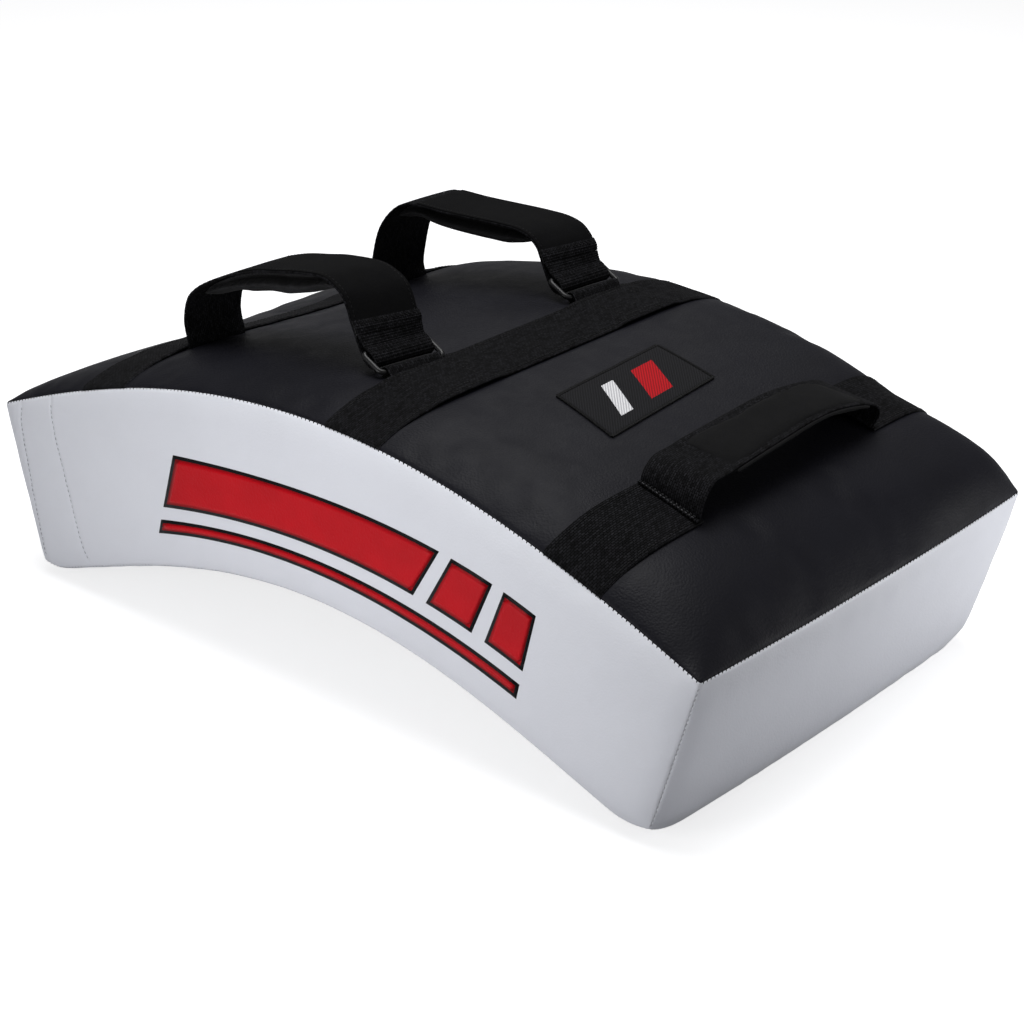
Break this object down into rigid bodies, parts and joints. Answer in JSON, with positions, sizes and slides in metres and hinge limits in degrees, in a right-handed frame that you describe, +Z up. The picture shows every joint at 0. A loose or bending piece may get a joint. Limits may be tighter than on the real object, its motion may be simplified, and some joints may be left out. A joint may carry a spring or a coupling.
{
  "type": "curved strike shield",
  "caption": "Curved foam strike shield in a sewn leather cover, with ring-adjusted forearm straps, a hand grip and an end flap closed by hook-and-loop tape.",
  "frame": {"origin": "on the ground under the middle of the shield, which lies on the two lower end edges of its concave strike face", "axes": "+X along the shield, from the strap side to the hand grip side; +Y across it, away from the side panel that the picture shows; +Z up, out of the convex back that carries the straps"},
  "size_m": [0.654, 0.3798, 0.274],
  "materials": {
    "black_leather": "smooth synthetic leather, soft sheen",
    "white_leather": "smooth synthetic leather, soft sheen",
    "webbing": "ribbed woven webbing, matte",
    "hook_and_loop": "hook-and-loop tape, matte",
    "soft_cover": "soft fabric, matte",
    "dense_foam": "cut closed-cell foam",
    "soft_foam": "cut open-cell foam",
    "coated_wire": "black coated wire, satin",
    "woven_patch": "woven, with a stitched border"
  },
  "bodies": {
    "cover": {"back_panel": "black_leather", "strike_panel": "white_leather", "near_side_panel": "white_leather", "far_side_panel": "white_leather", "right_end_panel": "white_leather", "near_closure_loop_tape": "hook_and_loop", "far_closure_loop_tape": "hook_and_loop", "foam_strike_layer": "dense_foam", "foam_middle_layer": "soft_foam", "foam_back_layer": "dense_foam", "left_band": "webbing", "middle_band": "webbing", "right_band_near": "webbing", "right_band_far": "webbing", "near_keeper": "webbing", "far_keeper": "webbing", "patch": "woven_patch"},
    "closure": {"end_flap": "white_leather", "near_closure_hook_tape": "hook_and_loop", "far_closure_hook_tape": "hook_and_loop"},
    "near_strap": {"near_arm_strap": "webbing", "near_strap_loop_tape": "hook_and_loop", "near_strap_pad": "soft_cover"},
    "far_strap": {"far_arm_strap": "webbing", "far_strap_loop_tape": "hook_and_loop", "far_strap_pad": "soft_cover"},
    "near_tail": {"near_strap_tail": "webbing", "near_tail_hook_tape": "hook_and_loop"},
    "far_tail": {"far_strap_tail": "webbing", "far_tail_hook_tape": "hook_and_loop"},
    "near_wire_ring": {"near_ring": "coated_wire"},
    "far_wire_ring": {"far_ring": "coated_wire"},
    "grip": {"hand_grip": "webbing", "hand_grip_pad": "soft_cover"}
  },
  "joints": [
    {"name": "end_flap_hinge", "type": "hinge", "parent": "cover", "child": "closure", "pos_m": [-0.32659, 0, 0.12648], "axis": [0, 1, 0], "range_deg": [0, 100]},
    {"name": "near_strap_swing", "type": "hinge", "parent": "cover", "child": "near_strap", "pos_m": [-0.01533, -0.0995, 0.23211], "axis": [0.9821, 0, 0.1886], "range_deg": [-20, 20], "stiffness_Nm_per_rad": 0.3, "deforming": ["near_arm_strap"]},
    {"name": "far_strap_swing", "type": "hinge", "parent": "cover", "child": "far_strap", "pos_m": [-0.01533, 0.0995, 0.23211], "axis": [0.9821, 0, 0.1886], "range_deg": [-20, 20], "stiffness_Nm_per_rad": 0.3, "deforming": ["far_arm_strap"]},
    {"name": "near_tail_peel", "type": "hinge", "parent": "near_strap", "child": "near_tail", "pos_m": [-0.02143, -0.0995, 0.24419], "axis": [0, 1, 0], "range_deg": [0, 110]},
    {"name": "far_tail_peel", "type": "hinge", "parent": "far_strap", "child": "far_tail", "pos_m": [-0.02143, 0.0995, 0.24419], "axis": [0, 1, 0], "range_deg": [0, 110]},
    {"name": "near_ring_rock", "type": "hinge", "parent": "cover", "child": "near_wire_ring", "pos_m": [0.00198, -0.0995, 0.2229], "axis": [0, 1, 0], "range_deg": [-5, 5]},
    {"name": "far_ring_rock", "type": "hinge", "parent": "cover", "child": "far_wire_ring", "pos_m": [0.00198, 0.0995, 0.2229], "axis": [0, 1, 0], "range_deg": [-5, 5]},
    {"name": "hand_grip_swing", "type": "hinge", "parent": "cover", "child": "grip", "pos_m": [0.22728, 0.004, 0.18652], "axis": [0, 1, 0], "range_deg": [-15, 45], "stiffness_Nm_per_rad": 0.3, "deforming": ["hand_grip"]}
  ]
}
